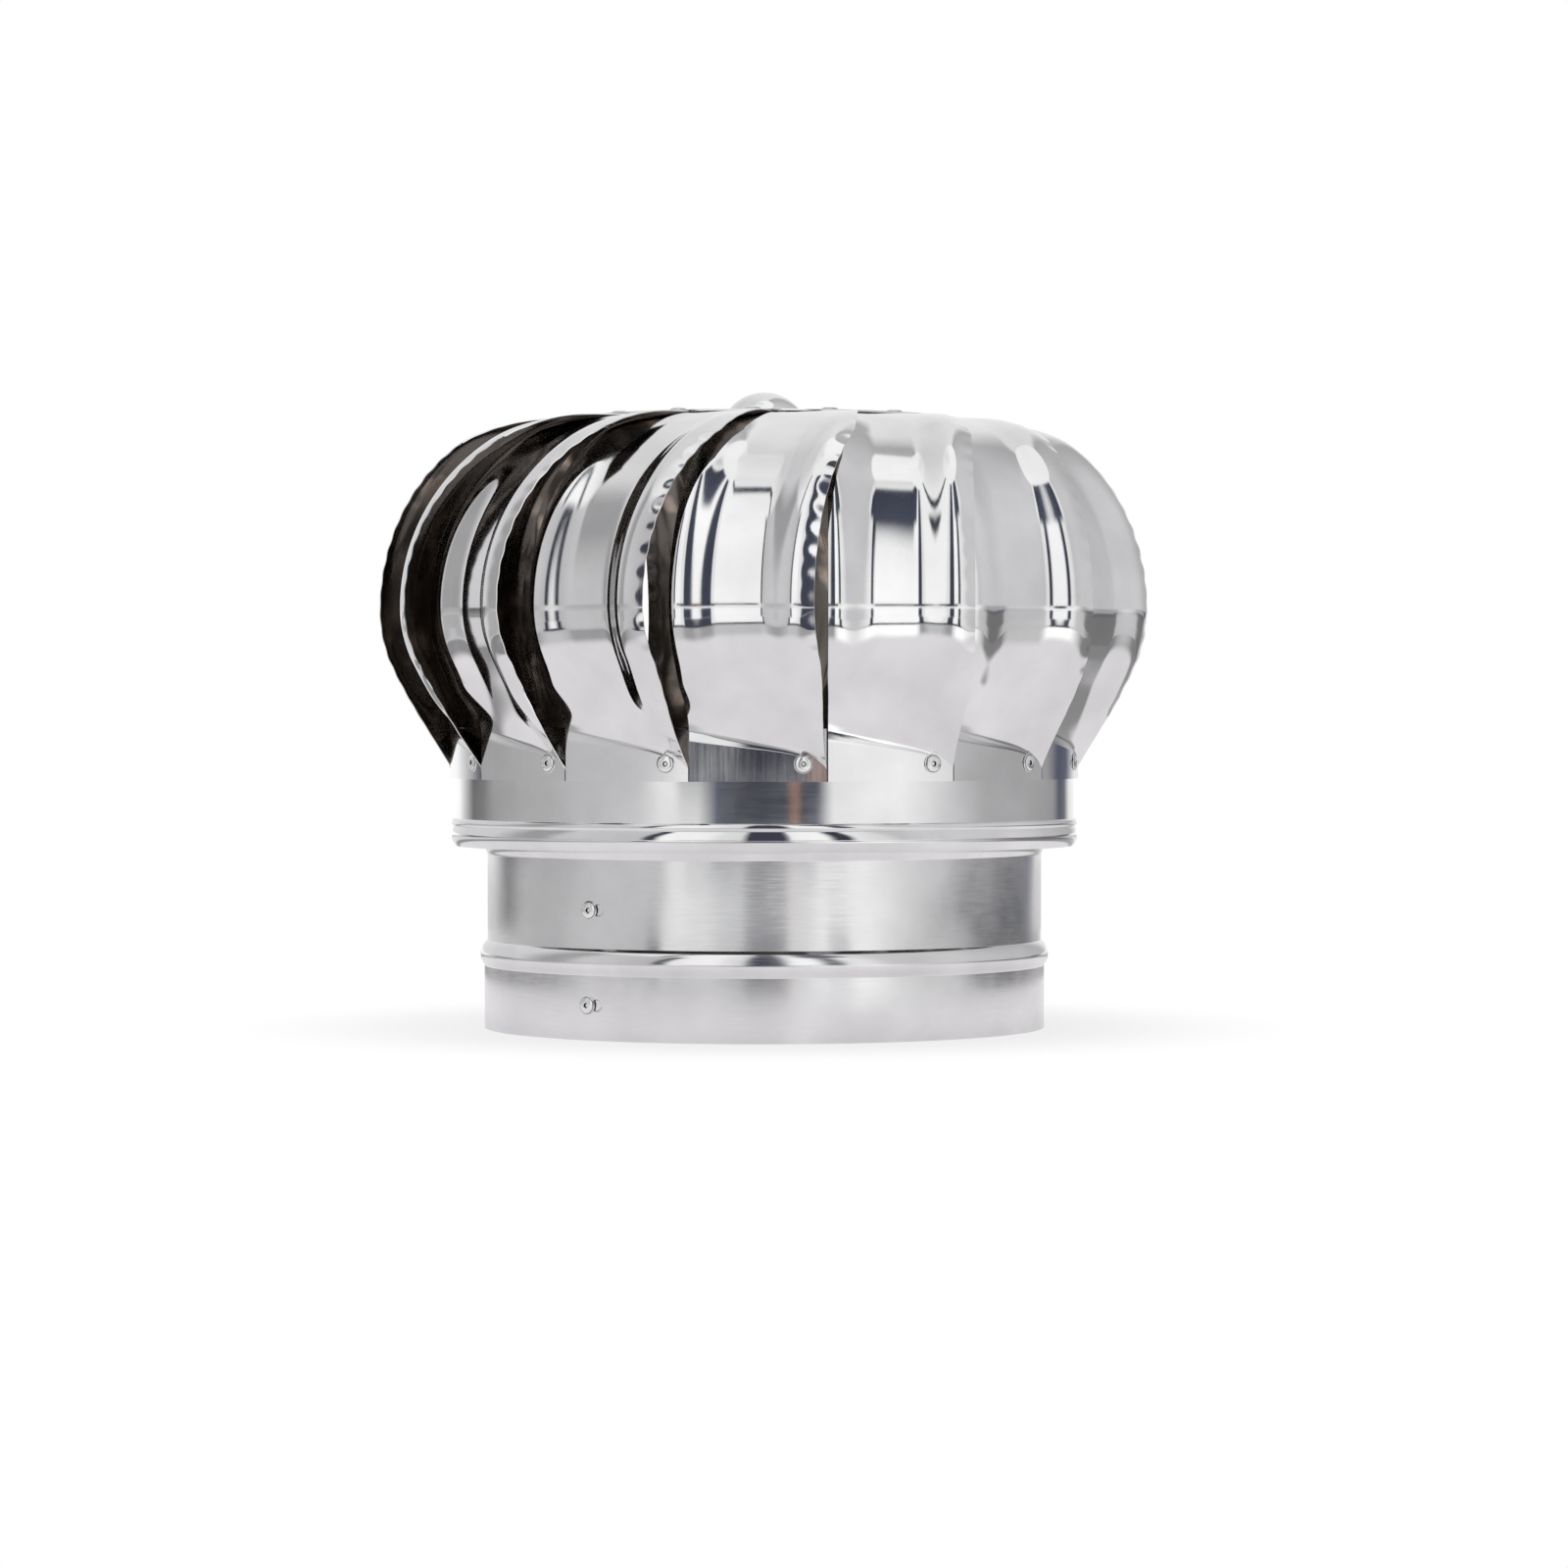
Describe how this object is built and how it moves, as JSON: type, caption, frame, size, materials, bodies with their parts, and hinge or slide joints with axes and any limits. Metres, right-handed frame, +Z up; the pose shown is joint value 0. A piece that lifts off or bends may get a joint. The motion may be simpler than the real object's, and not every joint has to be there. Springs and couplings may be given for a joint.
{
  "type": "rotating chimney cowl",
  "caption": "Rotating chimney cowl: a round head of curved, ribbed sheet vanes that spins on a fixed beaded collar and shaft to draw air out of a flue.",
  "frame": {"origin": "centre of the collar's open mouth, on the axis, at the bottom rim", "axes": "+Z up along the axis of rotation, -Y towards the front of the picture, +X to the right"},
  "size_m": [0.4108, 0.4125, 0.34],
  "materials": {
    "vane_stainless": "mirror polished",
    "polished_stainless": "mirror polished",
    "collar_stainless": "satin polished",
    "rivet_stainless": "polished",
    "bar_stainless": "mill finish",
    "bearing_steel": "ground",
    "fastener_steel": "turned"
  },
  "bodies": {
    "base": {"base_collar": "collar_stainless", "collar_seam_rivets": "rivet_stainless", "lower_brace": "bar_stainless", "upper_brace": "bar_stainless", "brace_rivets": "rivet_stainless", "shaft": "bearing_steel", "brace_washer_below": "fastener_steel", "brace_washer_above": "fastener_steel", "brace_nut_below": "fastener_steel", "brace_nut_above": "fastener_steel", "shaft_spacer": "bearing_steel", "lower_bearing_inner_race": "bearing_steel", "upper_bearing_inner_race": "bearing_steel", "race_nut_below": "fastener_steel", "race_nut_above": "fastener_steel"},
    "head": {"lower_ring": "polished_stainless", "spider": "bar_stainless", "lower_bearing_housing": "bar_stainless", "lower_bearing_outer_race": "bearing_steel", "lower_housing_rivets": "rivet_stainless", "upper_bearing_housing": "bar_stainless", "upper_bearing_outer_race": "bearing_steel", "top_plate": "polished_stainless", "hub_cap": "polished_stainless", "hub_rivets": "rivet_stainless", "vane_01": "vane_stainless", "vane_02": "vane_stainless", "vane_03": "vane_stainless", "vane_04": "vane_stainless", "vane_05": "vane_stainless", "vane_06": "vane_stainless", "vane_07": "vane_stainless", "vane_08": "vane_stainless", "vane_09": "vane_stainless", "vane_10": "vane_stainless", "vane_11": "vane_stainless", "vane_12": "vane_stainless", "vane_13": "vane_stainless", "vane_14": "vane_stainless", "vane_15": "vane_stainless", "vane_lower_rivets": "rivet_stainless", "vane_upper_rivets": "rivet_stainless"}
  },
  "joints": [
    {"name": "head_spin", "type": "hinge", "parent": "base", "child": "head", "pos_m": [0, 0, 0.319], "axis": [0, 0, 1], "continuous": true}
  ]
}
